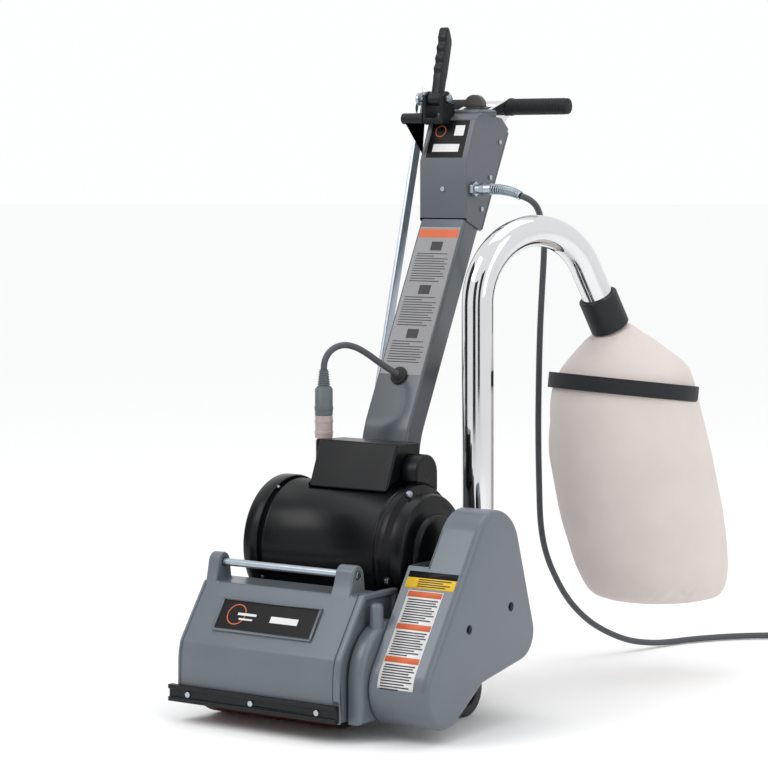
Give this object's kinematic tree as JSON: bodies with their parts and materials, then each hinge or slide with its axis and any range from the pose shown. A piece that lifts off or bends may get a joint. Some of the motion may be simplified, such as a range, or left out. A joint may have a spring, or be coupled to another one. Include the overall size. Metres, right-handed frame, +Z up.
{
  "type": "floor drum sander",
  "caption": "Walk-behind floor drum sander with a belt-driven sanding drum, motor, lift lever, wheeled carriage, dust pipe, cloth bag and mains cord.",
  "frame": {"origin": "on the floor, under the middle of the machine's bounding box without its mains cord, coil and plug", "axes": "+Z up; the drum end faces -Y and the operator walks on the +Y side; +X is the belt guard side"},
  "size_m": [0.5435, 1.183, 0.9233],
  "materials": {
    "grey_casting": "satin blue-grey enamel on a casting",
    "grey_sheet": "satin blue-grey enamel on sheet steel",
    "grey_tube": "gloss dark blue-grey enamel",
    "box_grey": "satin mid grey enamel",
    "motor_black": "gloss black enamel",
    "black_steel": "black powder coat",
    "truck_steel": "dark grey powder coat",
    "plate_black": "black anodised plate",
    "zinc": "bright zinc plating",
    "bearing_steel": "ground steel",
    "shaft_steel": "ground steel",
    "stator_steel": "varnished laminations",
    "rotor_steel": "turned laminations",
    "drum_alloy": "cast alloy",
    "drum_rubber": "matt rubber",
    "abrasive": "dark red grit on cloth",
    "pulley_iron": "turned cast iron",
    "belt_rubber": "moulded rubber",
    "fan_plastic": "moulded black plastic",
    "black_oxide": "black oxide",
    "chrome_bar": "bright chrome",
    "chrome_pipe": "polished chrome",
    "grip_rubber": "ribbed soft rubber",
    "switch_plastic": "moulded grey plastic",
    "lever_plastic": "moulded black plastic",
    "wheel_rubber": "solid black rubber",
    "cuff_rubber": "matt black rubber",
    "bag_cotton": "unbleached cotton cloth",
    "zip_tape": "woven black tape",
    "cord_jacket": "grey rubber jacket",
    "plug_plastic": "moulded plug",
    "connector_plastic": "moulded grey plastic"
  },
  "bodies": {
    "machine": {"drum_housing": "grey_casting", "side_plate": "grey_casting", "bearing_cap": "grey_casting", "nameplate": "plate_black", "dust_skirt": "black_steel", "skirt_screws": "zinc", "lift_bar": "zinc", "shaft_bearings": "bearing_steel", "motor_shell": "motor_black", "fan_bell": "motor_black", "drive_bell": "motor_black", "motor_bolts": "zinc", "motor_base": "motor_black", "frame_bolts": "zinc", "stator": "stator_steel", "terminal_box": "motor_black", "capacitor_cover": "motor_black", "drive_belts": "belt_rubber", "fan_housing": "grey_casting", "guard_backplate": "grey_sheet", "belt_guard": "grey_sheet", "guard_bolts": "black_oxide", "column": "grey_tube", "column_foot": "grey_tube", "control_box": "box_grey", "box_cover": "box_grey", "box_screws": "zinc", "handle_bar": "chrome_bar", "grips": "grip_rubber", "lever_bracket": "black_steel", "truck_shaft": "shaft_steel", "dust_pipe": "chrome_pipe", "bag_cuff": "cuff_rubber", "dust_bag": "bag_cotton", "bag_zip": "zip_tape", "cord_gland": "zinc", "power_cord": "cord_jacket", "cord_coil": "cord_jacket", "plug": "plug_plastic", "motor_lead": "cord_jacket", "lead_plug": "connector_plastic", "lead_grommet": "cuff_rubber"},
    "drum": {"drum_shaft": "shaft_steel", "drum_core": "drum_alloy", "drum_sleeve": "drum_rubber", "abrasive_belt": "abrasive", "drum_pulley": "pulley_iron"},
    "motor_rotor": {"rotor": "rotor_steel", "motor_shaft": "shaft_steel", "cooling_fan": "fan_plastic", "motor_pulley": "pulley_iron"},
    "dust_fan": {"fan_impeller": "drum_alloy", "fan_shaft": "shaft_steel", "fan_pulley": "pulley_iron"},
    "truck": {"truck": "truck_steel"},
    "lift_rod": {"control_rod": "zinc"},
    "lift_lever": {"control_lever": "lever_plastic"},
    "wheel_l": {"wheel_left": "wheel_rubber"},
    "wheel_r": {"wheel_right": "wheel_rubber"},
    "rocker": {"power_switch": "switch_plastic"}
  },
  "joints": [
    {"name": "drum_spin", "type": "hinge", "parent": "machine", "child": "drum", "pos_m": [-0.1455, -0.2667, 0.0765], "axis": [1, 0, 0], "continuous": true},
    {"name": "motor_spin", "type": "hinge", "parent": "machine", "child": "motor_rotor", "pos_m": [-0.0875, -0.1527, 0.218], "axis": [1, 0, 0], "continuous": true},
    {"name": "fan_spin", "type": "hinge", "parent": "machine", "child": "dust_fan", "pos_m": [0.0225, -0.0907, 0.107], "axis": [1, 0, 0], "continuous": true},
    {"name": "truck_lift", "type": "hinge", "parent": "machine", "child": "truck", "pos_m": [-0.0875, -0.1547, 0.064], "axis": [-1, 0, 0], "range_deg": [0, 13.7]},
    {"name": "rod_slide", "type": "slide", "parent": "machine", "child": "lift_rod", "axis": [0, -0.2674, -0.9636], "range_m": [0, 0.0173]},
    {"name": "lever_pivot", "type": "hinge", "parent": "machine", "child": "lift_lever", "pos_m": [-0.1315, 0.1073, 0.826], "axis": [-1, 0, 0], "range_deg": [0, 40.1]},
    {"name": "wheel_left_spin", "type": "hinge", "parent": "truck", "child": "wheel_l", "pos_m": [-0.2115, -0.1187, 0.036], "axis": [1, 0, 0], "continuous": true},
    {"name": "wheel_right_spin", "type": "hinge", "parent": "truck", "child": "wheel_r", "pos_m": [0.0625, -0.1187, 0.036], "axis": [1, 0, 0], "continuous": true},
    {"name": "switch_rock", "type": "hinge", "parent": "machine", "child": "rocker", "pos_m": [-0.0845, 0.1483, 0.8], "axis": [1, 0, 0], "range_deg": [-12, 12]}
  ],
  "couplings": [
    {"joint": "motor_spin", "follows": "drum_spin", "ratio": 1.1111},
    {"joint": "fan_spin", "follows": "drum_spin", "ratio": 2.6667},
    {"joint": "rod_slide", "follows": "truck_lift", "m_per_rad": 0.072},
    {"joint": "lever_pivot", "follows": "truck_lift", "ratio": 2.92}
  ]
}
